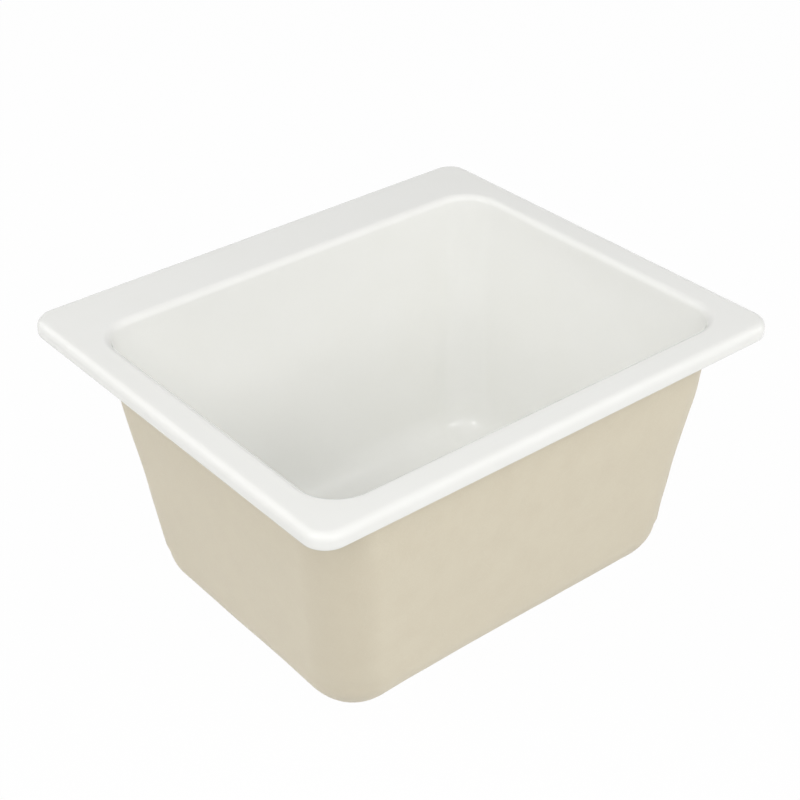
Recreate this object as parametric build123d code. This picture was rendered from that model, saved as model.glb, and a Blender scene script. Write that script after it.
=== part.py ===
from build123d import *
import os

# A drop-in laundry sink: a vacuum-formed white acrylic shell, backed with fibreglass laminate and
# stiffened with boards, with the basket strainer and tailpiece that drain it.
# Millimetres, +Z up. The origin is the plan centre of the rim, on the worktop plane that the rim's
# lower edge rests on. +X runs along the sink's long side, and +Y points to its back.

# The rim: 25 in by 22 in outside, and 18 mm tall.
RIM_WIDTH = 635.0
RIM_DEPTH = 558.8
RIM_HEIGHT = 18.0
RIM_CORNER = 28.0
RIM_EDGE_ROUND = 9.0

# The sheet and the laminate behind it. The laminate stops a little above the worktop.
ACRYLIC = 4.0
LAMINATE = 7.0
LAMINATE_RECESS = 2.0

# The bowl's wet side, in plan at the worktop plane, and how far its walls lean in per mm of depth.
# The drawn sheet and the rolled laminate are thinner round its upright corners.
BOWL_HALF_WIDTH = 275.0
BOWL_FRONT = 236.6
BOWL_BACK = 193.7
BOWL_CORNER = 44.5
CORNER_GROWTH = 1.35
SIDE_DRAFT = 0.120
FRONT_DRAFT = 0.130
BACK_DRAFT = 0.123
BOWL_FLOOR = -306.5
FLOOR_ROUND = 48.0
FLOOR_ROUND_GROWTH = 1.1
BOWL_LIP_ROUND = 12.0
UNDER_RIM_ROUND = 8.0
ABOVE_RIM = RIM_HEIGHT + 12.0

# The floor falls to a shallow recess that takes the strainer's flange.
DRAIN_Y = -19.0
FALL = 5.0
FALL_WIDTH = 376.0
FALL_DEPTH = 250.0
FALL_CORNER = 30.0
FALL_END = 132.0
FALL_END_ROUNDNESS = 0.499
RECESS_R = 59.5
RECESS_DEPTH = 3.5
DRAIN_HOLE_R = 44.45
THROUGH = 60.0

# The boards bonded up under the rim.
BOARD = 9.0
STRIP = 16.0
STRIP_GAP = 2.0
LEDGE_BOARD_WIDTH = 57.0
LEDGE_BOARD_LENGTH = 540.0
FRONT_STRIP_LENGTH = 510.0
SIDE_STRIP_LENGTH = 400.0

# The strainer. Its heights are measured from the top of its flange, which is flush with the floor.
FLANGE_R = 57.0
FLANGE = 2.0
BEVEL = 1.0
PUTTY = RECESS_DEPTH - FLANGE
PUTTY_BORE_R = 46.5
STRAINER_TOP = BOWL_FLOOR - FALL
MOUTH_R = 46.0
CUP_R = 43.4
CUP_WALL = 2.0
CUP_SEAT = -40.0
CUP_SEAT_WIDTH = 10.0
CUP_KNUCKLE = 8.0
MOUTH_DEPTH = 5.0
THREAD_PITCH = 2.3
THREAD_DEPTH = 0.9
CUP_THREAD_TOP = -12.0
CUP_THREAD_TURNS = 8
SPIGOT_R = 23.4
SPIGOT_BORE_R = 20.5
SPIGOT_TOP = -43.0
SPIGOT_END = -55.0
SPIGOT_THREAD_TURNS = 4
UNDERSIDE = -(RECESS_DEPTH + ACRYLIC + LAMINATE)
SLIP = 0.3
GASKET = 3.2
FRICTION_RING = 1.2
LOCKNUT = 10.0
LOCKNUT_FLANGE = 3.0
LOCKNUT_RING = 6.0
LOCKNUT_LUGS = 6
LUG = 8.0

# The tailpiece: 1 1/2 in tube, 4 in long, with its washer and coupling nut.
TUBE_R = 19.05
TUBE_WALL = 0.9
TUBE_LENGTH = 101.6
WASHER = 2.5
TUBE_FLANGE = 1.5
NUT_HEIGHT = 17.0
NUT_ACROSS_FLATS = 55.0
NUT_CORNER = 2.6
NUT_CHAMFER = 2.0
NUT_LIP = 3.0
NUT_LIP_BORE_R = 20.5

# The lift-out basket, and the post whose seal closes the outlet. They are drawn shut.
BASKET_R = 36.0
BASKET_FLOOR_R = 31.0
BASKET_FLOOR = -24.0
BASKET_SHEET = 0.8
BASKET_RIM_R = 42.8
BASKET_RIM_TOP = -2.0
BASKET_BEND = 2.6
HOLE_R = 2.0
FLOOR_HOLE_R = 1.7
WALL_HOLES = 20
WALL_ROWS = (-8.0, -13.2, -18.4)
FLOOR_RINGS = ((14.0, 10), (20.5, 14), (27.0, 18))
POST_R = 4.0
POST_CLEARANCE = 0.08
POST_TOP = -13.0
GUIDE_R = 6.2
GUIDE_FLANGE = 1.8
GUIDE_RIVET = 1.2
GUIDE_TOP = 4.0
CLIP = 2.0
CLIP_HEIGHT = 1.2
CLIP_GAP = 2.4
GROOVE = 0.5
SEAL_R = 27.0
SEAL = 4.0
SEAL_GAP = 0.3
SEAL_BEVEL = 2.0
SEAL_PLUG = 1.5
SCREW_R = 2.0
SCREW_HEAD_R = 5.0
PLATE_R = 22.0
PLATE = 1.2
KNOB_R = 10.0
KNOB = 8.0

DRAIN = Pos(0, DRAIN_Y, STRAINER_TOP)


def rounded_slab(width, depth, corner, low, high):
    """An upright slab with round corners, centred on the origin in plan."""
    return Pos(0, 0, low) * extrude(RectangleRounded(width, depth, corner), high - low)


def bowl_section(z, grow):
    """The bowl's outline at one height, grown sideways all round."""
    half = BOWL_HALF_WIDTH + SIDE_DRAFT * z + grow
    front = BOWL_FRONT + FRONT_DRAFT * z + grow
    back = BOWL_BACK + BACK_DRAFT * z + grow
    outline = RectangleRounded(2 * half, front + back, BOWL_CORNER + CORNER_GROWTH * grow)
    return Pos(0, (back - front) / 2, z) * outline


def bowl(grow, top):
    """The space inside the bowl, or that space grown by a skin's thickness."""
    floor = BOWL_FLOOR - grow
    space = loft([bowl_section(floor, grow), bowl_section(top, grow)], ruled=True)
    floor_edges = space.faces().sort_by(Axis.Z)[0].edges()
    space = fillet(floor_edges, FLOOR_ROUND + FLOOR_ROUND_GROWTH * grow)
    wide = Pos(0, DRAIN_Y, floor) * RectangleRounded(FALL_WIDTH, FALL_DEPTH, FALL_CORNER)
    narrow_outline = RectangleRounded(FALL_END, FALL_END, FALL_END_ROUNDNESS * FALL_END)
    narrow = Pos(0, DRAIN_Y, floor - FALL) * narrow_outline
    falls = loft([narrow, wide], ruled=True)
    recess_height = FALL + RECESS_DEPTH
    recess = Cylinder(RECESS_R + grow, recess_height, align=(Align.CENTER, Align.CENTER, Align.MAX))
    return space + falls + Pos(0, DRAIN_Y, floor) * recess


def drain_hole():
    """The round hole through the floor for the strainer."""
    return Pos(0, DRAIN_Y, STRAINER_TOP + UNDERSIDE / 2) * Cylinder(DRAIN_HOLE_R, THROUGH)


def under_rim(low):
    """The hollow under the acrylic's rim, from a given height up to the sheet's underside."""
    width = RIM_WIDTH - 2 * ACRYLIC
    depth = RIM_DEPTH - 2 * ACRYLIC
    slab = rounded_slab(width, depth, RIM_CORNER - ACRYLIC, low, RIM_HEIGHT - ACRYLIC)
    top = slab.faces().sort_by(Axis.Z)[-1]
    slab = fillet(top.edges(), RIM_EDGE_ROUND - ACRYLIC)
    slab -= bowl(ACRYLIC, ABOVE_RIM)
    inner_edges = slab.faces().sort_by(Axis.Z)[-1].inner_wires()[0].edges()
    return fillet(inner_edges, BOWL_LIP_ROUND - ACRYLIC)


def acrylic_shell():
    """The white sheet: ledge, turned-down rim and bowl in one skin."""
    shell = rounded_slab(RIM_WIDTH, RIM_DEPTH, RIM_CORNER, 0, RIM_HEIGHT)
    shell = fillet(shell.faces().sort_by(Axis.Z)[-1].edges(), RIM_EDGE_ROUND)
    shell += bowl(ACRYLIC, RIM_HEIGHT - ACRYLIC)
    shell -= bowl(0, ABOVE_RIM)
    lip_edges = shell.faces().sort_by(Axis.Z)[-1].inner_wires()[0].edges()
    shell = fillet(lip_edges, BOWL_LIP_ROUND)
    shell -= under_rim(-ACRYLIC)
    return shell - drain_hole()


def boards():
    """The plywood ledge board and the three rim strips, each against the sheet's underside."""
    z = RIM_HEIGHT - ACRYLIC - BOARD / 2
    rim_inside = RIM_EDGE_ROUND + STRIP_GAP
    side_x = RIM_WIDTH / 2 - rim_inside - STRIP / 2
    front_y = -RIM_DEPTH / 2 + rim_inside + STRIP / 2
    ledge_y = RIM_DEPTH / 2 - rim_inside - LEDGE_BOARD_WIDTH / 2
    middle_y = (BOWL_BACK - BOWL_FRONT) / 2
    return {
        "faucet_ledge_board": Pos(0, ledge_y, z) * Box(LEDGE_BOARD_LENGTH, LEDGE_BOARD_WIDTH, BOARD),
        "rim_stiffener_front": Pos(0, front_y, z) * Box(FRONT_STRIP_LENGTH, STRIP, BOARD),
        "rim_stiffener_left": Pos(-side_x, middle_y, z) * Box(STRIP, SIDE_STRIP_LENGTH, BOARD),
        "rim_stiffener_right": Pos(side_x, middle_y, z) * Box(STRIP, SIDE_STRIP_LENGTH, BOARD),
    }


def fibreglass_backing(wood):
    """The laminate sprayed on the back of the sheet, over the boards."""
    skin = ACRYLIC + LAMINATE
    backing = under_rim(LAMINATE_RECESS)
    backing += bowl(skin, LAMINATE_RECESS)
    underside = [face for face in backing.faces().filter_by(Plane.XY)
                 if face.inner_wires() and face.center().Z < BOARD]
    backing = fillet(underside[0].inner_wires()[0].edges(), UNDER_RIM_ROUND)
    backing -= bowl(ACRYLIC, ABOVE_RIM)
    for board in wood.values():
        backing -= board
    return backing - drain_hole()


def turned(*points):
    """A round piece, from its half section as (radius, height) points."""
    section = make_face(Plane.XZ * Polyline(*points, close=True))
    return revolve(section, Axis.Z)


def ring(inner_r, outer_r, top, height):
    """A plain flat ring, hung from its top face."""
    return turned((inner_r, top), (outer_r, top), (outer_r, top - height), (inner_r, top - height))


def thread(radius, top, turns):
    """The half section of a thread as ridges, from its top down."""
    root_r = radius - THREAD_DEPTH
    profile = ((root_r, 0.1), (radius, 0.4), (radius, 0.6), (root_r, 0.9))
    return [(r, top - (turn + share) * THREAD_PITCH)
            for turn in range(turns) for r, share in profile]


def putty_ring():
    """The bed of plumber's putty between the strainer's flange and the floor."""
    return ring(PUTTY_BORE_R, FLANGE_R - SLIP, -FLANGE, PUTTY)


def strainer_body():
    """The pressed steel cup: flange, mouth, threaded wall, seat and threaded outlet."""
    inner_r = CUP_R - CUP_WALL
    knuckle = CUP_SEAT + CUP_KNUCKLE
    bend = CUP_KNUCKLE / 2
    outside = [(FLANGE_R - BEVEL, 0), (FLANGE_R, -BEVEL), (FLANGE_R, -FLANGE)]
    outside += [(PUTTY_BORE_R - SLIP, -FLANGE), (DRAIN_HOLE_R - SLIP, -RECESS_DEPTH)]
    outside += [(CUP_R, -RECESS_DEPTH - FLANGE)]
    outside += thread(CUP_R, CUP_THREAD_TOP, CUP_THREAD_TURNS)
    outside += [(CUP_R, knuckle), (CUP_R - CUP_WALL, knuckle - bend)]
    outside += [(SPIGOT_R + bend, SPIGOT_TOP + BEVEL), (SPIGOT_R, SPIGOT_TOP)]
    outside += thread(SPIGOT_R, SPIGOT_TOP - BEVEL, SPIGOT_THREAD_TURNS)
    outside += [(SPIGOT_R, SPIGOT_END), (SPIGOT_BORE_R, SPIGOT_END)]
    inside = [(SPIGOT_BORE_R, CUP_SEAT - BEVEL), (SPIGOT_BORE_R + BEVEL, CUP_SEAT)]
    inside += [(inner_r - CUP_SEAT_WIDTH, CUP_SEAT), (inner_r - CUP_WALL, CUP_SEAT + bend)]
    inside += [(inner_r, knuckle), (inner_r, -MOUTH_DEPTH), (MOUTH_R, -SLIP), (MOUTH_R + BEVEL, 0)]
    return turned(*(outside + inside))


def strainer_gasket():
    """The rubber ring under the floor."""
    return ring(CUP_R + SLIP, FLANGE_R - BEVEL, UNDERSIDE, GASKET)


def friction_ring():
    """The fibre ring that lets the locknut turn without dragging the gasket."""
    return ring(CUP_R + SLIP, FLANGE_R - 2 * BEVEL, UNDERSIDE - GASKET, FRICTION_RING)


def strainer_locknut():
    """The cast locknut, with lugs for a spanner."""
    top = UNDERSIDE - GASKET - FRICTION_RING
    bottom = top - LOCKNUT
    bore_r = CUP_R + SLIP / 2
    ring_r = bore_r + LOCKNUT_RING
    nut = turned((bore_r, top), (FLANGE_R, top), (FLANGE_R, top - LOCKNUT_FLANGE),
                 (ring_r, top - 1.5 * LOCKNUT_FLANGE), (ring_r, bottom), (bore_r, bottom))
    lug_height = LOCKNUT - LOCKNUT_FLANGE / 2
    lug = Pos(FLANGE_R - LUG / 2, 0, bottom + lug_height / 2) * Box(LUG, LUG, lug_height)
    for number in range(LOCKNUT_LUGS):
        nut += Rot(0, 0, 360.0 * number / LOCKNUT_LUGS) * lug
    return nut


def tailpiece_washer():
    """The plastic washer that seals the tailpiece's flange to the outlet."""
    return ring(TUBE_R - TUBE_WALL, SPIGOT_R - SLIP, SPIGOT_END, WASHER)


def tailpiece():
    """The flanged waste tube, down to the trap."""
    top = SPIGOT_END - WASHER
    bore_r = TUBE_R - TUBE_WALL
    flange_r = SPIGOT_R - SLIP
    return turned((bore_r, top), (flange_r, top), (flange_r, top - TUBE_FLANGE),
                  (TUBE_R, top - TUBE_FLANGE), (TUBE_R, top - TUBE_LENGTH),
                  (bore_r, top - TUBE_LENGTH))


def coupling_nut():
    """The hexagonal nut that holds the tailpiece up to the outlet."""
    shoulder = SPIGOT_END - WASHER - TUBE_FLANGE
    bottom = shoulder - NUT_LIP
    hexagon = RegularPolygon(NUT_ACROSS_FLATS / 2, 6, major_radius=False)
    nut = Pos(0, 0, bottom) * extrude(hexagon, NUT_HEIGHT)
    top = bottom + NUT_HEIGHT
    corner_r = NUT_ACROSS_FLATS / 2 + NUT_CORNER
    face_r = corner_r - NUT_CHAMFER
    nut &= turned((0, bottom), (face_r, bottom), (corner_r, bottom + NUT_CHAMFER),
                  (corner_r, top - NUT_CHAMFER), (face_r, top), (0, top))
    nut -= Pos(0, 0, shoulder + THROUGH / 2) * Cylinder(SPIGOT_R + SLIP / 2, THROUGH)
    return nut - Pos(0, 0, shoulder) * Cylinder(NUT_LIP_BORE_R, THROUGH)


def basket_cup():
    """The perforated basket, pressed from one sheet, with a rolled rim."""
    sheet = BASKET_SHEET
    bend = BASKET_BEND
    rim_low = BASKET_RIM_TOP - sheet
    wet = [(GUIDE_R, BASKET_FLOOR), (BASKET_FLOOR_R - bend, BASKET_FLOOR)]
    wet += [(BASKET_FLOOR_R, BASKET_FLOOR + bend), (BASKET_R, rim_low - bend)]
    wet += [(BASKET_R + bend - sheet, BASKET_RIM_TOP), (BASKET_RIM_R, BASKET_RIM_TOP)]
    dry = [(BASKET_RIM_R, rim_low), (BASKET_R + bend, rim_low), (BASKET_R + sheet, rim_low - bend)]
    dry += [(BASKET_FLOOR_R + sheet, BASKET_FLOOR + bend)]
    dry += [(BASKET_FLOOR_R - bend, BASKET_FLOOR - sheet), (GUIDE_R, BASKET_FLOOR - sheet)]
    cup = turned(*(wet + dry))
    wall_drill = Pos(BASKET_R, 0, 0) * Rot(0, 90, 0) * Cylinder(HOLE_R, BASKET_R / 2)
    for row, height in enumerate(WALL_ROWS):
        for number in range(WALL_HOLES):
            angle = 360.0 * (number + 0.5 * (row % 2)) / WALL_HOLES
            cup -= Rot(0, 0, angle) * Pos(0, 0, height) * wall_drill
    for ring_r, count in FLOOR_RINGS:
        for number in range(count):
            place = Rot(0, 0, 360.0 * number / count) * Pos(ring_r, 0, BASKET_FLOOR)
            cup -= place * Cylinder(FLOOR_HOLE_R, BASKET_FLOOR_R / 4)
    return cup


def post_guide():
    """The bush, riveted into the basket's floor, that the post slides in."""
    bore_r = POST_R + POST_CLEARANCE
    low = BASKET_FLOOR - BASKET_SHEET
    top = BASKET_FLOOR + GUIDE_TOP
    flange_r = GUIDE_R + GUIDE_FLANGE
    return turned((bore_r, low - GUIDE_RIVET), (flange_r, low - GUIDE_RIVET), (flange_r, low),
                  (GUIDE_R, low), (GUIDE_R, BASKET_FLOOR), (flange_r, BASKET_FLOOR),
                  (flange_r, BASKET_FLOOR + GUIDE_RIVET),
                  (GUIDE_R - SLIP, BASKET_FLOOR + GUIDE_RIVET), (GUIDE_R - SLIP, top), (bore_r, top))


def post_clip():
    """The open spring ring on the guide that holds the post up or down."""
    low = BASKET_FLOOR + GUIDE_TOP
    clip = ring(POST_R + SLIP, POST_R + CLIP, low + CLIP_HEIGHT, CLIP_HEIGHT)
    return clip - Pos(POST_R + CLIP / 2, 0, low) * Box(2 * CLIP, CLIP_GAP, 2 * CLIP)


def stopper_seal():
    """The rubber seal that closes the outlet."""
    low = CUP_SEAT + SEAL_GAP
    plug_r = SPIGOT_BORE_R - BEVEL
    return turned((SCREW_R, low - SEAL_PLUG), (plug_r - SEAL_BEVEL, low - SEAL_PLUG), (plug_r, low),
                  (SEAL_R, low), (SEAL_R, low + SEAL - SEAL_BEVEL),
                  (SEAL_R - SEAL_BEVEL, low + SEAL), (SCREW_R, low + SEAL))


def stopper_plate():
    """The steel plate that backs the seal."""
    return ring(SCREW_R, PLATE_R, CUP_SEAT + SEAL_GAP + SEAL + PLATE, PLATE)


def stopper_post():
    """The post through the guide, grooved for the clip, with its knob screwed on top."""
    low = CUP_SEAT + SEAL_GAP + SEAL + PLATE
    groove = BASKET_FLOOR + GUIDE_TOP + CLIP_HEIGHT / 2
    root_r = POST_R - GROOVE
    return turned((0, low), (POST_R, low), (POST_R, groove - 2 * GROOVE), (root_r, groove - GROOVE),
                  (root_r, groove + GROOVE), (POST_R, groove + 2 * GROOVE),
                  (POST_R, POST_TOP - BEVEL), (POST_R - BEVEL, POST_TOP), (0, POST_TOP))


def stopper_knob():
    """The knob that lifts the post, and with it the basket."""
    low = POST_TOP - KNOB / 2
    high = low + KNOB
    neck_r = POST_R + 2 * BEVEL
    return turned((POST_R, low), (neck_r, low), (KNOB_R, low + 3 * BEVEL), (KNOB_R, high - 2 * BEVEL),
                  (KNOB_R - BEVEL, high - BEVEL), (neck_r, high), (0, high), (0, POST_TOP),
                  (POST_R - BEVEL, POST_TOP), (POST_R, POST_TOP - BEVEL))


def stopper_screw():
    """The screw that clamps seal and plate to the post."""
    head = CUP_SEAT + SEAL_GAP - SEAL_PLUG
    top = CUP_SEAT + SEAL_GAP + SEAL + PLATE
    return turned((0, head - SCREW_R), (SCREW_HEAD_R - BEVEL, head - SCREW_R),
                  (SCREW_HEAD_R, head - BEVEL), (SCREW_HEAD_R, head), (SCREW_R, head),
                  (SCREW_R, top), (0, top))


def all_parts():
    """Every piece in place, by name."""
    wood = boards()
    pieces = {"acrylic_shell": acrylic_shell(), "fibreglass_backing": fibreglass_backing(wood)}
    pieces.update(wood)
    drain_pieces = (
        putty_ring, strainer_body, strainer_gasket, friction_ring, strainer_locknut,
        tailpiece_washer, tailpiece, coupling_nut, basket_cup, post_guide, post_clip,
        stopper_seal, stopper_plate, stopper_post, stopper_knob, stopper_screw,
    )
    for make in drain_pieces:
        pieces[make.__name__] = DRAIN * make()
    return pieces


os.makedirs("parts", exist_ok=True)
for name, piece in all_parts().items():
    export_step(piece, f"parts/{name}.step")
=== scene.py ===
import math

import bmesh
import bpy
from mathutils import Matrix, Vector, noise


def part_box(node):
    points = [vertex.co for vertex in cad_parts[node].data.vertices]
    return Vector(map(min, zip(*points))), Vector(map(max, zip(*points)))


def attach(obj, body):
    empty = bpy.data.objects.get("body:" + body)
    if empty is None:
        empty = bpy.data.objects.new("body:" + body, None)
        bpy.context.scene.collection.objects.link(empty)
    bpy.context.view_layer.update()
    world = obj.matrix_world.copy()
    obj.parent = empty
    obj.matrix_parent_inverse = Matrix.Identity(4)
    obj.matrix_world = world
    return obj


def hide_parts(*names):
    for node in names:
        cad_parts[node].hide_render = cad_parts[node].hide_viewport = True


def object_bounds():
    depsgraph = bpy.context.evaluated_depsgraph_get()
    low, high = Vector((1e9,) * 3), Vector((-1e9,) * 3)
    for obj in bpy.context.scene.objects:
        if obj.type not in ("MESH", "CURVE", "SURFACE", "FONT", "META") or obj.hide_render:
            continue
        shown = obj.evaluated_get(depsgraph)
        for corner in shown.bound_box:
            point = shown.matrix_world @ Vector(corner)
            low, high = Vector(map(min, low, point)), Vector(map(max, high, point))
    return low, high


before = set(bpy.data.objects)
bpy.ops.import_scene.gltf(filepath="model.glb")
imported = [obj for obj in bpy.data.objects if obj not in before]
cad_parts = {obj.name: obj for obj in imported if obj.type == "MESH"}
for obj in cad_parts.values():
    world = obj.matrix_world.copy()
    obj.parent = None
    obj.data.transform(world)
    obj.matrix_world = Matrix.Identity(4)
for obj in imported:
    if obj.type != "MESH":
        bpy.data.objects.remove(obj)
cad_low, cad_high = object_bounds()


# ---------------------------------------------------------------------------------------------
# The white face of the sink: one sheet of acrylic, heated and drawn by vacuum over a form, so the
# ledge, the turned-down rim and the bowl are a single skin 4 mm thick. Its wet side is glossy, and
# its bends are soft because a hot sheet never pulls quite sharp.
# ---------------------------------------------------------------------------------------------
# The sink's sizes are in millimetres, and Blender's own unit is the metre.
MM = 0.001
SHEET = 4.0
RIM_TURN = 9.0
RIM_CORNER = 28.0
LOWER_EDGE_TURN = 1.2
# How far in a round edge is at the middle of its bend, as a share of its radius.
MIDDLE_OF_BEND = 0.3

# The bowl's reach to its ends, its front and its back at the worktop's level, where z is 0, and
# how far each leans in for every millimetre down.
BOWL_HALF_WIDTH = 275.0
BOWL_FRONT = 236.6
BOWL_BACK = 193.7
BOWL_CORNER = 44.5
DRAFTS = (0.120, 0.130, 0.123)
BOWL_FLOOR = -306.5
FLOOR_TURN = 48.0
# The corners and the floor's bend grow by more than the thickness that is added outside the bowl.
CORNER_GROWTH = 1.35
FLOOR_TURN_GROWTH = 1.1
# The lip is bent a little tighter than in the solid, whose turn is 12 mm.
LIP_TURN = 9.5
# The straight walls start this far below the lip's bend and end this far above the floor's.
WALL_BELOW_LIP = 6.0
WALL_ABOVE_FLOOR = 8.0

# The floor falls from a rectangle centred on the drain to a round recess for the strainer.
FALL = 5.0
FALL_HALF_WIDTH = 188.0
FALL_HALF_DEPTH = 125.0
FALL_CORNER = 30.0
RECESS_RADIUS = 59.5
RECESS_TURN = 4.0
RECESS_DEPTH = 3.5
HOLE_RADIUS = 44.45

# Into how many faces each stretch is cut, and where the flat ones are cut, as shares of the way.
CORNER_STEPS = 20
SIDE_STEPS = 36
WALL_STEPS = 24
LIP_STEPS = 20
FLOOR_STEPS = 16
RECESS_STEPS = 4
RIM_STEPS = 10
LEDGE_SHARES = (0.12, 0.3, 0.5, 0.7, 0.88)
FALL_SHARES = (0.0, 0.15, 0.3, 0.5, 0.7, 0.88, 1.0)

shell_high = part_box("acrylic_shell")[1]
RIM_HALF_WIDTH = shell_high.x / MM
RIM_HALF_DEPTH = shell_high.y / MM
RIM_TOP = shell_high.z / MM
strainer_low, strainer_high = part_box("strainer_body")
DRAIN_Y = (strainer_low.y + strainer_high.y) / 2 / MM


def rounded_loop(half, front, back, corner, z):
    """The points of a rectangle with round corners, anticlockwise from the right-hand side."""
    middles = [(half - corner, back - corner), (corner - half, back - corner),
               (corner - half, corner - front), (half - corner, corner - front)]
    points = []
    for turn, (x, y) in enumerate(middles):
        for step in range(CORNER_STEPS + 1):
            angle = (turn + step / CORNER_STEPS) * math.pi / 2
            points.append(Vector((x + corner * math.cos(angle), y + corner * math.sin(angle), z)))
        next_x, next_y = middles[(turn + 1) % 4]
        angle = (turn + 1) * math.pi / 2
        end = Vector((next_x + corner * math.cos(angle), next_y + corner * math.sin(angle), z))
        start = points[-1]
        for step in range(1, SIDE_STEPS):
            points.append(start.lerp(end, step / SIDE_STEPS))
    return points


def drain_loop(radius, z, like):
    """A circle round the drain, with one point in the direction of each point of another loop."""
    points = []
    for point in like:
        angle = math.atan2(point.y - DRAIN_Y, point.x)
        points.append(Vector((radius * math.cos(angle), DRAIN_Y + radius * math.sin(angle), z)))
    return points


def between(loop, other, share):
    """The loop a given share of the way from one to another."""
    return [a.lerp(b, share) for a, b in zip(loop, other)]


def bend(radius, lean, share):
    """How far in and how far along a round bend reaches, for a wall that leans by a slope."""
    sweep = (math.pi / 2 - math.atan(lean)) * share
    tangent = radius * math.tan((math.pi / 2 - math.atan(lean)) / 2)
    return tangent - radius * math.sin(sweep), radius * (1 - math.cos(sweep))


def wall_loop(z, grow):
    """The bowl's plan at a height on its leaning walls, grown by a thickness."""
    half = BOWL_HALF_WIDTH + DRAFTS[0] * z + grow
    front = BOWL_FRONT + DRAFTS[1] * z + grow
    back = BOWL_BACK + DRAFTS[2] * z + grow
    return rounded_loop(half, front, back, BOWL_CORNER + CORNER_GROWTH * grow, z)


def bent_loop(level, rise, turn, outward, grow, share):
    """The bowl's plan in a bend: outward at its lip, inward at its floor."""
    ins = [bend(turn, lean, share) for lean in DRAFTS]
    height = sum(up for _, up in ins) / len(ins)
    z = level + rise * height
    sides = [BOWL_HALF_WIDTH, BOWL_FRONT, BOWL_BACK]
    reach = [side + lean * level + grow + outward * inset
             for side, lean, (inset, _) in zip(sides, DRAFTS, ins)]
    inset = ins[0][0]
    return rounded_loop(*reach, BOWL_CORNER + CORNER_GROWTH * grow + outward * inset, z)


def bowl_loops(grow, lip_level, lip_turn):
    """The bowl's skin from the ledge down to the drain hole, grown by a thickness."""
    floor = BOWL_FLOOR - grow
    floor_turn = FLOOR_TURN + FLOOR_TURN_GROWTH * grow
    loops = [bent_loop(lip_level, -1, lip_turn, 1, grow, step / LIP_STEPS)
             for step in range(LIP_STEPS + 1)]
    high = loops[-1][0].z - WALL_BELOW_LIP
    low = bent_loop(floor, 1, floor_turn, -1, grow, 1.0)[0].z + WALL_ABOVE_FLOOR
    loops += [wall_loop(high + (low - high) * step / WALL_STEPS, grow)
              for step in range(WALL_STEPS + 1)]
    loops += [bent_loop(floor, 1, floor_turn, -1, grow, 1 - step / FLOOR_STEPS)
              for step in range(FLOOR_STEPS + 1)]
    fall_start = rounded_loop(FALL_HALF_WIDTH, FALL_HALF_DEPTH - DRAIN_Y,
                              FALL_HALF_DEPTH + DRAIN_Y, FALL_CORNER, floor)
    recess = RECESS_RADIUS + grow
    edge = drain_loop(recess + RECESS_TURN, floor - FALL, fall_start)
    loops += [between(fall_start, edge, share) for share in FALL_SHARES]
    for step in range(1, RECESS_STEPS + 1):
        sweep = math.pi / 2 * step / RECESS_STEPS
        loops.append(drain_loop(recess + RECESS_TURN * (1 - math.sin(sweep)),
                                floor - FALL - RECESS_DEPTH * (1 - math.cos(sweep)), fall_start))
    loops.append(drain_loop((recess + HOLE_RADIUS) / 2, floor - FALL - RECESS_DEPTH, fall_start))
    loops.append(drain_loop(HOLE_RADIUS, floor - FALL - RECESS_DEPTH, fall_start))
    return loops


def rim_loop(inset, z):
    """The rim's plan, drawn in from its outer edge."""
    return rounded_loop(RIM_HALF_WIDTH - inset, RIM_HALF_DEPTH - inset, RIM_HALF_DEPTH - inset,
                        RIM_CORNER - inset, z)


def rim_loops(inset, low, top, turn, lower_turn=0.0):
    """The rim's outside from its lower edge up and over on to the ledge."""
    loops = []
    if lower_turn:
        halfway = MIDDLE_OF_BEND * lower_turn
        loops += [rim_loop(inset + lower_turn, low), rim_loop(inset + halfway, low + halfway)]
    loops += [rim_loop(inset, low + lower_turn), rim_loop(inset, (low + top - turn) / 2)]
    for step in range(RIM_STEPS + 1):
        sweep = math.pi / 2 * step / RIM_STEPS
        loops.append(rim_loop(inset + turn - turn * math.cos(sweep),
                              top - turn + turn * math.sin(sweep)))
    return loops


def skin_mesh(name, loops):
    """A closed skin through loops of points in millimetres; the last loop joins the first."""
    form = bmesh.new()
    rows = [[form.verts.new(point * MM) for point in loop] for loop in loops]
    for row, following in zip(rows, rows[1:] + rows[:1]):
        for index in range(len(row)):
            beside = (index + 1) % len(row)
            form.faces.new((row[index], row[beside], following[beside], following[index]))
    bmesh.ops.recalc_face_normals(form, faces=form.faces)
    for face in form.faces:
        face.smooth = True
    mesh = bpy.data.meshes.new(name)
    form.to_mesh(mesh)
    form.free()
    piece = bpy.data.objects.new(name, mesh)
    bpy.context.scene.collection.objects.link(piece)
    return piece


def sheet_loops():
    """The acrylic's wet side, then its back, as one closed run of loops."""
    over = rim_loops(0, 0, RIM_TOP, RIM_TURN, LOWER_EDGE_TURN)
    wet = bowl_loops(0, RIM_TOP, LIP_TURN)
    ledge = [between(over[-1], wet[0], share) for share in LEDGE_SHARES]
    under = rim_loops(SHEET, 0, RIM_TOP - SHEET, RIM_TURN - SHEET)
    dry = bowl_loops(SHEET, RIM_TOP - SHEET, LIP_TURN - SHEET)
    under_ledge = [between(under[-1], dry[0], share) for share in LEDGE_SHARES]
    return over + ledge + wet + (under + under_ledge + dry)[::-1]


def linear(hex_colour):
    """A colour as written on screen, turned to the linear values that the shader takes."""
    values = [int(hex_colour[i:i + 2], 16) / 255 for i in (1, 3, 5)]
    return [v / 12.92 if v <= 0.04045 else ((v + 0.055) / 1.055) ** 2.4 for v in values] + [1.0]


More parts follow.
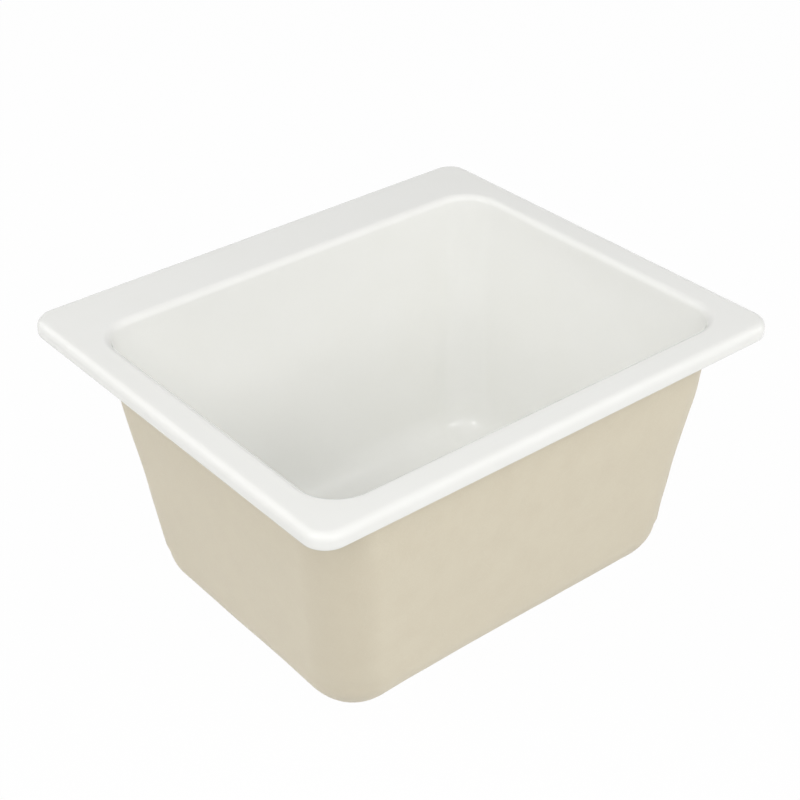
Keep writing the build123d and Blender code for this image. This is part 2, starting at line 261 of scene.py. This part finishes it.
def add(tree, kind, inputs=(), **settings):
    """One shader node, with its settings and a value or a link for each input that is named."""
    node = tree.nodes.new("ShaderNode" + kind)
    for name, value in settings.items():
        setattr(node, name, value)
    for socket, value in dict(inputs).items():
        if isinstance(value, bpy.types.NodeSocket):
            tree.links.new(value, node.inputs[socket])
        else:
            node.inputs[socket].default_value = value
    return node


def new_material(name):
    """A new material with an empty node tree, and that tree."""
    material = bpy.data.materials.new(name)
    material.use_nodes = True
    material.node_tree.nodes.clear()
    return material, material.node_tree


def paint(piece, material):
    """Gives a piece its material in every slot."""
    if not piece.data.materials:
        piece.data.materials.append(material)
    for number in range(len(piece.data.materials)):
        piece.data.materials[number] = material


# The Mix node's sockets for colours, by number: its two inputs, and its output.
FIRST, SECOND, MIXED = 6, 7, 2
# A noise pattern's values seldom leave this range, which is spread over the range wanted.
NOISE_RANGE = {"From Min": 0.3, "From Max": 0.7}
RIPPLE = 55.0
RIPPLE_DEPTH = 0.3
HAZE = 18.0


def glossy_acrylic():
    """Cast acrylic sheet, vacuum-formed: bright white, glossy, with slow ripples from the draw."""
    material, tree = new_material("glossy_white_acrylic")
    place = add(tree, "TexCoord").outputs["Object"]
    ripple = add(tree, "TexNoise", {"Vector": place, "Scale": 1 / (RIPPLE * MM),
                                    "Detail": 1.0}).outputs["Fac"]
    haze = add(tree, "TexNoise", {"Vector": place, "Scale": 1 / (HAZE * MM),
                                  "Detail": 3.0}).outputs["Fac"]
    white = add(tree, "Mix", {"Factor": ripple, FIRST: linear("#F3F3EF"),
                              SECOND: linear("#F5F5F2")}, data_type="RGBA")
    gloss = add(tree, "MapRange", {"Value": haze, **NOISE_RANGE, "To Min": 0.07, "To Max": 0.10})
    rippled = add(tree, "Bump", {"Height": ripple, "Distance": RIPPLE_DEPTH * MM,
                                 "Strength": 0.15})
    surface = add(tree, "BsdfPrincipled", {
        "Base Color": white.outputs[MIXED], "IOR": 1.49, "Specular IOR Level": 0.3,
        "Roughness": gloss.outputs["Result"], "Normal": rippled.outputs["Normal"]})
    add(tree, "OutputMaterial", {"Surface": surface.outputs["BSDF"]})
    return material


acrylic = skin_mesh("acrylic_sheet", sheet_loops())
paint(acrylic, glossy_acrylic())
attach(acrylic, "sink")
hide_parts("acrylic_shell")


# ---------------------------------------------------------------------------------------------
# The tan backing: chopped glass strand and polyester resin, sprayed on the back of the sheet and
# rolled down by hand. It is about 7 mm thick, thicker where the strands lap at the corners, with a
# satin resin skin over faint strands, so its outline wanders by up to a few millimetres.
# ---------------------------------------------------------------------------------------------
LAMINATE = 7.0
LAMINATE_RECESS = 2.0
BONDED_EDGE = 2.0
SEAM = 0.05
UNDER_RIM_TURN = 8.0
UNDER_RIM_SHARES = (0.0, 0.15, 0.35, 0.55, 0.75, 0.9)
SLOW_WANDER = 0.5
SLOW_WANDER_LENGTH = 95.0
ROLLER_WANDER = 0.25
ROLLER_LENGTH = 34.0
WANDER_STARTS = 25.0
NUT_SEAT_RADIUS = 66.0
NUT_SEAT_EDGE = 30.0
# Laps and starved spots in the lay-up: where, how wide and how thick, in millimetres.
LAPS = (
    (Vector((-264, 173, -85)), 24.0, 0.6), (Vector((-256, 165, -150)), 24.0, -1.2),
    (Vector((-244, 153, -255)), 26.0, 0.7), (Vector((265, -216, -78)), 18.0, 2.4),
    (Vector((253, -204, -165)), 22.0, -1.6), (Vector((247, -196, -225)), 16.0, -1.0),
    (Vector((239, -189, -288)), 20.0, 3.8), (Vector((-212, -180, -314)), 32.0, 2.8),
    (Vector((0, -178, -314)), 60.0, -0.5), (Vector((150, -178, -314)), 50.0, -0.5),
)


def laminate_loops():
    """The laminate's outside from the rim down to the drain hole, then its bonded side."""
    inset = SHEET + SEAM
    low = LAMINATE_RECESS
    tub = bowl_loops(SHEET + LAMINATE, low, UNDER_RIM_TURN)
    edge = rim_loop(inset, low)
    under_rim = [between(edge, tub[0], share) for share in UNDER_RIM_SHARES]
    bonded_rim = rim_loops(inset, low + BONDED_EDGE, RIM_TOP - inset, RIM_TURN - SHEET)
    bonded = bowl_loops(inset, RIM_TOP - inset, LIP_TURN - SHEET)
    return under_rim + tub, bonded_rim + bonded


def lay_up(point):
    """How much thicker or thinner than nominal the laminate is at a point, in millimetres."""
    swell = SLOW_WANDER * noise.noise(point / SLOW_WANDER_LENGTH)
    swell += ROLLER_WANDER * noise.noise(point / ROLLER_LENGTH)
    for middle, width, height in LAPS:
        swell += height * math.exp(-(point - middle).length_squared / (2 * width ** 2))
    below_rim = min(1.0, max(0.0, (LAMINATE_RECESS - point.z) / WANDER_STARTS))
    from_drain = math.hypot(point.x, point.y - DRAIN_Y) - NUT_SEAT_RADIUS
    off_seat = min(1.0, max(0.0, from_drain / NUT_SEAT_EDGE))
    return swell * below_rim * off_seat


def lay_up_by_hand(piece):
    """Moves the laminate's outside in or out by its uneven thickness."""
    tub_middle = Vector((0, 0, BOWL_FLOOR / 2))
    normals = [vertex.normal.copy() for vertex in piece.data.vertices]
    for vertex, normal in zip(piece.data.vertices, normals):
        point = vertex.co / MM
        if normal.dot(point - tub_middle) > 0:
            vertex.co = (point + normal * lay_up(point)) * MM


# A strand is 40 mm long. It is drawn 1.4 mm wide, wider than a real one, so that it shows.
STRAND_LENGTH = 40.0
STRAND_WIDTH = 1.4
STRAND_SWAY = 14.0
STRAND_SWAY_LENGTH = 45.0
# Which way the strands lie: three ways across the ends, three across the sides, three underneath.
STRAND_TURNS = ((0, 20, 0), (0, 78, 0), (0, 140, 0), (35, 0, 0), (95, 0, 0), (155, 0, 0),
                (0, 90, 10), (0, 90, 70), (0, 90, 125))
STRAND_DEPTH = 0.1
MOTTLE = 34.0
MOTTLE_DEPTH = 0.3
PEEL = 4.5
PEEL_DEPTH = 0.25


def strands(tree, place, turn):
    """A pattern of chopped strands that lie one way: one along each strand, zero beside it."""
    laid = add(tree, "Mapping", {
        "Vector": place, "Rotation": [math.radians(v) for v in turn],
        "Scale": (STRAND_WIDTH * MM, STRAND_WIDTH * MM, STRAND_LENGTH * MM)},
        vector_type="TEXTURE")
    grain = add(tree, "TexNoise", {"Vector": laid.outputs[0], "Scale": 1.0, "Detail": 1.0})
    crests = add(tree, "MapRange", {"Value": grain.outputs["Fac"], "From Min": 0.60,
                                    "From Max": 0.76})
    return crests.outputs["Result"]


def tan_laminate():
    """Polyester resin over glass strands: satin, pale tan, mottled by the lay-up and the roller.

    The upright corners are painted a shade darker: painted shade that stands in for the lesser
    light falling there.
    """
    material, tree = new_material("tan_glass_laminate")
    where = add(tree, "TexCoord").outputs
    place = where["Object"]
    mottle = add(tree, "TexNoise", {"Vector": place, "Scale": 1 / (MOTTLE * MM),
                                    "Detail": 4.0}).outputs["Fac"]
    peel = add(tree, "TexNoise", {"Vector": place, "Scale": 1 / (PEEL * MM)}).outputs["Fac"]
    sway = add(tree, "TexNoise", {"Vector": place, "Scale": 1 / (STRAND_SWAY_LENGTH * MM)})
    swayed = add(tree, "VectorMath", {0: sway.outputs["Color"], 1: [STRAND_SWAY * MM] * 3,
                                      2: place}, operation="MULTIPLY_ADD").outputs[0]
    mat = strands(tree, swayed, STRAND_TURNS[0])
    for turn in STRAND_TURNS[1:]:
        mat = add(tree, "Math", {0: mat, 1: strands(tree, swayed, turn)},
                  operation="MAXIMUM").outputs[0]

    cloudy = add(tree, "MapRange", {"Value": mottle, **NOISE_RANGE})
    resin = add(tree, "Mix", {"Factor": cloudy.outputs["Result"], FIRST: linear("#D9CFB8"),
                              SECOND: linear("#DDD4BE")}, data_type="RGBA")
    faint = add(tree, "MapRange", {"Value": mat, "To Max": 0.3})
    strewn = add(tree, "Mix", {"Factor": faint.outputs["Result"], FIRST: resin.outputs[MIXED],
                               SECOND: linear("#E2DBC7")}, data_type="RGBA")

    # Painted shade: where the normal turns between two walls, at the upright corners, the tan is
    # darkened towards #CFC5AF.
    facing = add(tree, "SeparateXYZ", {0: where["Normal"]})
    both_ways = add(tree, "Math", {0: facing.outputs[0], 1: facing.outputs[1]},
                    operation="MULTIPLY")
    corner = add(tree, "Math", {0: both_ways.outputs[0]}, operation="ABSOLUTE")
    painted_corner_shade = add(tree, "MapRange", {"Value": corner.outputs[0], "From Min": 0.02,
                                      "From Max": 0.42, "To Max": 0.35})
    colour = add(tree, "Mix", {"Factor": painted_corner_shade.outputs["Result"], FIRST: strewn.outputs[MIXED],
                               SECOND: linear("#CFC5AF")}, data_type="RGBA")

    satin = add(tree, "MapRange", {"Value": mottle, **NOISE_RANGE, "To Min": 0.42, "To Max": 0.56})
    rolled = add(tree, "Bump", {"Height": mottle, "Distance": MOTTLE_DEPTH * MM, "Strength": 0.3})
    sprayed = add(tree, "Bump", {"Height": peel, "Distance": PEEL_DEPTH * MM, "Strength": 0.5,
                                 "Normal": rolled.outputs["Normal"]})
    fibrous = add(tree, "Bump", {"Height": mat, "Distance": STRAND_DEPTH * MM, "Strength": 0.6,
                                 "Normal": sprayed.outputs["Normal"]})
    surface = add(tree, "BsdfPrincipled", {
        "Base Color": colour.outputs[MIXED], "IOR": 1.55,
        "Roughness": satin.outputs["Result"], "Normal": fibrous.outputs["Normal"]})
    add(tree, "OutputMaterial", {"Surface": surface.outputs["BSDF"]})
    return material


outside, bonded_side = laminate_loops()
backing = skin_mesh("fibreglass_backing_skin", outside + bonded_side[::-1])
lay_up_by_hand(backing)
paint(backing, tan_laminate())
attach(backing, "sink")
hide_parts("fibreglass_backing")


# ---------------------------------------------------------------------------------------------
# The boards bonded up under the ledge and the rim before the laminate went over them: sanded
# birch plywood, which stiffens the ledge for a faucet and keeps the rim straight.
# ---------------------------------------------------------------------------------------------
PLY = 3.0
GRAIN = 1.2
GRAIN_LENGTH = 60.0
GRAIN_DEPTH = 0.1


def sanded_plywood():
    """Birch plywood: a pale face with long grain, and dark and light plies on the edges."""
    material, tree = new_material("sanded_birch_plywood")
    place = add(tree, "TexCoord").outputs["Object"]
    drawn = add(tree, "Mapping", {
        "Vector": place, "Scale": (GRAIN_LENGTH * MM, GRAIN * MM, GRAIN * MM)},
        vector_type="TEXTURE")
    grain = add(tree, "TexNoise", {"Vector": drawn.outputs[0], "Scale": 1.0,
                                   "Detail": 3.0}).outputs["Fac"]
    plies = add(tree, "TexWave", {"Vector": place, "Scale": 1 / (PLY * MM * 2 * math.pi),
                                  "Distortion": 0.4}, bands_direction="Z")
    streaks = add(tree, "MapRange", {"Value": grain, **NOISE_RANGE})
    face = add(tree, "Mix", {"Factor": streaks.outputs["Result"], FIRST: linear("#B8935F"),
                             SECOND: linear("#D4B486")}, data_type="RGBA")
    layers = add(tree, "MapRange", {"Value": plies.outputs["Fac"], "To Max": 0.35})
    colour = add(tree, "Mix", {"Factor": layers.outputs["Result"], FIRST: face.outputs[MIXED],
                               SECOND: linear("#9A7447")}, data_type="RGBA")
    sanded = add(tree, "MapRange", {"Value": grain, **NOISE_RANGE, "To Min": 0.6, "To Max": 0.75})
    fibres = add(tree, "Bump", {"Height": grain, "Distance": GRAIN_DEPTH * MM, "Strength": 0.4})
    surface = add(tree, "BsdfPrincipled", {
        "Base Color": colour.outputs[MIXED], "IOR": 1.45,
        "Roughness": sanded.outputs["Result"], "Normal": fibres.outputs["Normal"]})
    add(tree, "OutputMaterial", {"Surface": surface.outputs["BSDF"]})
    return material


plywood = sanded_plywood()
for board in ("faucet_ledge_board", "rim_stiffener_front", "rim_stiffener_left",
              "rim_stiffener_right"):
    paint(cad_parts[board], plywood)


# ---------------------------------------------------------------------------------------------
# The basket strainer: a cup drawn and polished from stainless steel, dropped through the floor on
# a bed of putty. Below the floor a rubber gasket, a fibre ring and a cast zinc nut pull it down.
# ---------------------------------------------------------------------------------------------
DRAIN_AXIS = (0.0, DRAIN_Y * MM, 0.0)
SMUDGE = 14.0
# A moulded stuff's blotches of tone are this many grains across.
TONE_GRAINS = 9
# How far a moulded stuff's roughness wanders either way.
TONE_ROUGHNESS = 0.06


def from_axis(tree, place):
    """Distance from the drain's axis and height, so that a pattern runs round it as rings."""
    centred = add(tree, "VectorMath", {0: place, 1: DRAIN_AXIS}, operation="SUBTRACT")
    parts = add(tree, "SeparateXYZ", {0: centred.outputs[0]})
    flat = add(tree, "CombineXYZ", {0: parts.outputs[0], 1: parts.outputs[1]})
    reach = add(tree, "VectorMath", {0: flat.outputs[0]}, operation="LENGTH")
    return add(tree, "CombineXYZ", {0: reach.outputs["Value"], 2: parts.outputs[2]}).outputs[0]


def turned_metal(name, dark, light, smooth, dull, line, deep):
    """Bare metal finished on a spindle: fine rings round its axis, and smudges that dull it.

    A ring's width and depth are in millimetres, and it is drawn wider than a real one, to show.
    """
    material, tree = new_material(name)
    place = add(tree, "TexCoord").outputs["Object"]
    rings = add(tree, "TexNoise", {"Vector": from_axis(tree, place),
                                   "Scale": 1 / (line * MM)}).outputs["Fac"]
    smudge = add(tree, "TexNoise", {"Vector": place, "Scale": 1 / (SMUDGE * MM), "Detail": 3.0})
    lines = add(tree, "MapRange", {"Value": rings, **NOISE_RANGE})
    colour = add(tree, "Mix", {"Factor": lines.outputs["Result"], FIRST: linear(dark),
                               SECOND: linear(light)}, data_type="RGBA")
    polish = add(tree, "MapRange", {"Value": smudge.outputs["Fac"], **NOISE_RANGE,
                                    "To Min": smooth, "To Max": dull})
    ringed = add(tree, "Bump", {"Height": rings, "Distance": deep * MM, "Strength": 0.35})
    surface = add(tree, "BsdfPrincipled", {
        "Base Color": colour.outputs[MIXED], "Metallic": 1.0,
        "Roughness": polish.outputs["Result"], "Normal": ringed.outputs["Normal"]})
    add(tree, "OutputMaterial", {"Surface": surface.outputs["BSDF"]})
    return material


def moulded(name, dark, light, rough, ior, grain, deep):
    """A dull moulded or kneaded stuff: rubber, putty, polythene or pressed fibre.

    The width and depth of its grain are in millimetres.
    """
    material, tree = new_material(name)
    place = add(tree, "TexCoord").outputs["Object"]
    pitted = add(tree, "TexNoise", {"Vector": place, "Scale": 1 / (grain * MM), "Detail": 3.0})
    tone = add(tree, "TexNoise", {"Vector": place,
                                  "Scale": 1 / (TONE_GRAINS * grain * MM)}).outputs["Fac"]
    blotches = add(tree, "MapRange", {"Value": tone, **NOISE_RANGE})
    colour = add(tree, "Mix", {"Factor": blotches.outputs["Result"], FIRST: linear(dark),
                               SECOND: linear(light)}, data_type="RGBA")
    dullness = add(tree, "MapRange", {"Value": tone, **NOISE_RANGE,
                                      "To Min": rough - TONE_ROUGHNESS,
                                      "To Max": rough + TONE_ROUGHNESS})
    pits = add(tree, "Bump", {"Height": pitted.outputs["Fac"], "Distance": deep * MM,
                              "Strength": 0.5})
    surface = add(tree, "BsdfPrincipled", {
        "Base Color": colour.outputs[MIXED], "IOR": ior,
        "Roughness": dullness.outputs["Result"], "Normal": pits.outputs["Normal"]})
    add(tree, "OutputMaterial", {"Surface": surface.outputs["BSDF"]})
    return material


# Polished stainless sheet: grey, with reflections that its fine rings soften.
stainless = turned_metal("brushed_stainless_steel", "#BDBEBD", "#CFD0CE", smooth=0.22, dull=0.34,
                         line=0.6, deep=0.03)
# A zinc casting: darker and duller, with the coarse rings of a quick cut.
cast_zinc = turned_metal("cast_zinc", "#8F9191", "#A6A8A8", smooth=0.38, dull=0.52, line=1.6,
                         deep=0.12)
# Moulded rubber: near black, with a dull even sheen.
rubber = moulded("moulded_black_rubber", "#1C1C1C", "#262625", rough=0.72, ior=1.52, grain=0.8,
                 deep=0.05)
# Kneaded putty: the colour of stone, matt and dented all over.
putty = moulded("plumbers_putty", "#9C9482", "#AAA28E", rough=0.82, ior=1.5, grain=2.5, deep=0.3)
# Pressed fibre: brown and matt like a hard card.
fibre = moulded("pressed_vulcanised_fibre", "#7E5F3E", "#96734C", rough=0.7, ior=1.5, grain=1.0,
                deep=0.08)
for node, material in (("strainer_body", stainless), ("putty_ring", putty),
                       ("strainer_gasket", rubber), ("friction_ring", fibre),
                       ("strainer_locknut", cast_zinc)):
    paint(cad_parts[node], material)


# ---------------------------------------------------------------------------------------------
# The tailpiece: thin brass tube, chromed, whose flange a hexagonal brass nut holds up against a
# white polythene washer. Polished plate mirrors the room, with a few dull smudges.
# ---------------------------------------------------------------------------------------------
chrome = turned_metal("polished_chrome_plate", "#C6C8CA", "#CBCDCF", smooth=0.06, dull=0.12,
                      line=1.2, deep=0.01)
# Moulded polythene: milky white and waxy.
polythene = moulded("white_polythene", "#E4E4DF", "#EBEBE6", rough=0.42, ior=1.51, grain=1.5,
                    deep=0.03)
paint(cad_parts["tailpiece"], chrome)
paint(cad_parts["coupling_nut"], chrome)
paint(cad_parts["tailpiece_washer"], polythene)


# ---------------------------------------------------------------------------------------------
# The lift-out basket: pressed and pierced from thin stainless sheet, with a bush riveted through
# its floor for the stopper's post, and an open ring of spring wire that grips the post's groove.
# ---------------------------------------------------------------------------------------------
# Drawn spring wire: darker than the sheet, and bright where it catches a lamp.
spring_steel = turned_metal("bright_spring_steel", "#77797B", "#8C8E90", smooth=0.25, dull=0.36,
                            line=0.5, deep=0.02)
paint(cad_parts["basket_cup"], stainless)
paint(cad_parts["post_guide"], stainless)
paint(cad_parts["post_clip"], spring_steel)


# ---------------------------------------------------------------------------------------------
# The stopper: a chromed post and knob over a steel plate and a rubber seal, which a steel screw
# clamps together from below. Pushed down, the seal closes the strainer's outlet.
# ---------------------------------------------------------------------------------------------
for node, material in (("stopper_seal", rubber), ("stopper_plate", stainless),
                       ("stopper_screw", stainless), ("stopper_post", chrome),
                       ("stopper_knob", chrome)):
    paint(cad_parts[node], material)


# ---------------------------------------------------------------------------------------------
# The photographer's sweep: a pale floor just under the drain, soft boxes all round and above, two
# small key lamps that leave short streaks in the bowl's corner, and a camera that looks down on
# the front left corner.
# ---------------------------------------------------------------------------------------------
# The studio's sizes are in metres.
FLOOR_GAP = 0.0005
FLOOR_REACH = 12.0
# The share of plain white in the floor where it is seen directly; the rest is lit paper.
FLOOR_WHITE = 0.98

floor_mesh = bpy.data.meshes.new("floor")
floor_form = bmesh.new()
bmesh.ops.create_grid(floor_form, x_segments=1, y_segments=1, size=FLOOR_REACH)
floor_form.to_mesh(floor_mesh)
floor_form.free()
floor = bpy.data.objects.new("floor", floor_mesh)
floor.location.z = cad_low.z - FLOOR_GAP
bpy.context.scene.collection.objects.link(floor)


def seen_directly(tree):
    """One where the camera, a mirror or glass looks straight at a surface, and zero elsewhere."""
    path = add(tree, "LightPath").outputs
    some = add(tree, "Math", {0: path["Is Camera Ray"], 1: path["Is Glossy Ray"]},
               operation="MAXIMUM")
    return add(tree, "Math", {0: some.outputs[0], 1: path["Is Transmission Ray"]},
               operation="MAXIMUM").outputs[0]


def pale_floor():
    """Matt white paper that reads as plain white, but still takes the sink's faint shadow."""
    material, tree = new_material("white_paper_floor")
    paper = add(tree, "BsdfDiffuse", {"Color": linear("#EEEEEE")})
    white = add(tree, "Emission", {"Color": linear("#FFFFFF"), "Strength": 1.0})
    share = add(tree, "Math", {0: seen_directly(tree), 1: FLOOR_WHITE}, operation="MULTIPLY")
    mixed = add(tree, "MixShader", {0: share.outputs[0], 1: paper.outputs[0],
                                    2: white.outputs[0]})
    add(tree, "OutputMaterial", {"Surface": mixed.outputs[0]})
    return material


paint(floor, pale_floor())

WORLD_STRENGTH = 0.10
world = bpy.data.worlds.new("studio")
bpy.context.scene.world = world
world.use_nodes = True
sky = world.node_tree
sky.nodes.clear()
plain = add(sky, "Background", {"Color": linear("#FFFFFF"), "Strength": WORLD_STRENGTH})
bright = add(sky, "Background", {"Color": linear("#FFFFFF"), "Strength": 1.0})
either = add(sky, "MixShader", {0: seen_directly(sky), 1: plain.outputs[0],
                                2: bright.outputs[0]})
add(sky, "OutputWorld", {"Surface": either.outputs[0]})

CAMERA_AZIMUTH = -38.19
CAMERA_ELEVATION = 32.63
CAMERA_DISTANCE = 2.0741
CAMERA_AIM = Vector((0.0378, 0.0476, -0.1315))
CAMERA_ROLL = -1.25
CAMERA_LENS = 77.49
CAMERA_SENSOR = 36.0
LAMP_DISTANCE = 4.5


def direction(azimuth, elevation):
    """Which way something lies from the sink: azimuth 0 is in front, and 90 is to its right."""
    a, e = math.radians(azimuth), math.radians(elevation)
    return Vector((math.sin(a) * math.cos(e), -math.cos(a) * math.cos(e), math.sin(e)))


def soft_box(name, azimuth, elevation, size, watts):
    """A square diffused lamp aimed at the point that the camera is aimed at."""
    lamp = bpy.data.lights.new(name, "AREA")
    lamp.size = size
    lamp.energy = watts
    box = bpy.data.objects.new(name, lamp)
    away = direction(azimuth, elevation)
    box.location = CAMERA_AIM + away * LAMP_DISTANCE
    box.rotation_euler = away.to_track_quat("Z", "Y").to_euler()
    bpy.context.scene.collection.objects.link(box)


soft_box("front_soft_box", -15, 35, size=3.2, watts=73.0)
soft_box("front_right_soft_box", 35, 35, size=3.2, watts=39.0)
soft_box("right_soft_box", 60, 15, size=1.9, watts=28.0)
soft_box("back_left_soft_box", -150, 35, size=3.2, watts=48.0)
soft_box("left_soft_box", -90, 35, size=3.2, watts=51.0)
soft_box("left_overhead_soft_box", -90, 60, size=3.8, watts=20.0)
soft_box("overhead_soft_box", -38, 60, size=3.8, watts=10.0)
soft_box("front_key_lamp", 5, 42, size=0.7, watts=13.0)
soft_box("left_key_lamp", -85, 40, size=0.7, watts=18.0)

toward_camera = direction(CAMERA_AZIMUTH, CAMERA_ELEVATION)
lens = bpy.data.cameras.new("camera")
lens.lens = CAMERA_LENS
lens.sensor_width = CAMERA_SENSOR
camera = bpy.data.objects.new("camera", lens)
camera.location = CAMERA_AIM + toward_camera * CAMERA_DISTANCE
camera.rotation_euler = toward_camera.to_track_quat("Z", "Y").to_euler()
camera.rotation_euler.rotate_axis("Z", math.radians(CAMERA_ROLL))
bpy.context.scene.collection.objects.link(camera)
bpy.context.scene.camera = camera
bpy.context.scene.view_settings.view_transform = "Standard"
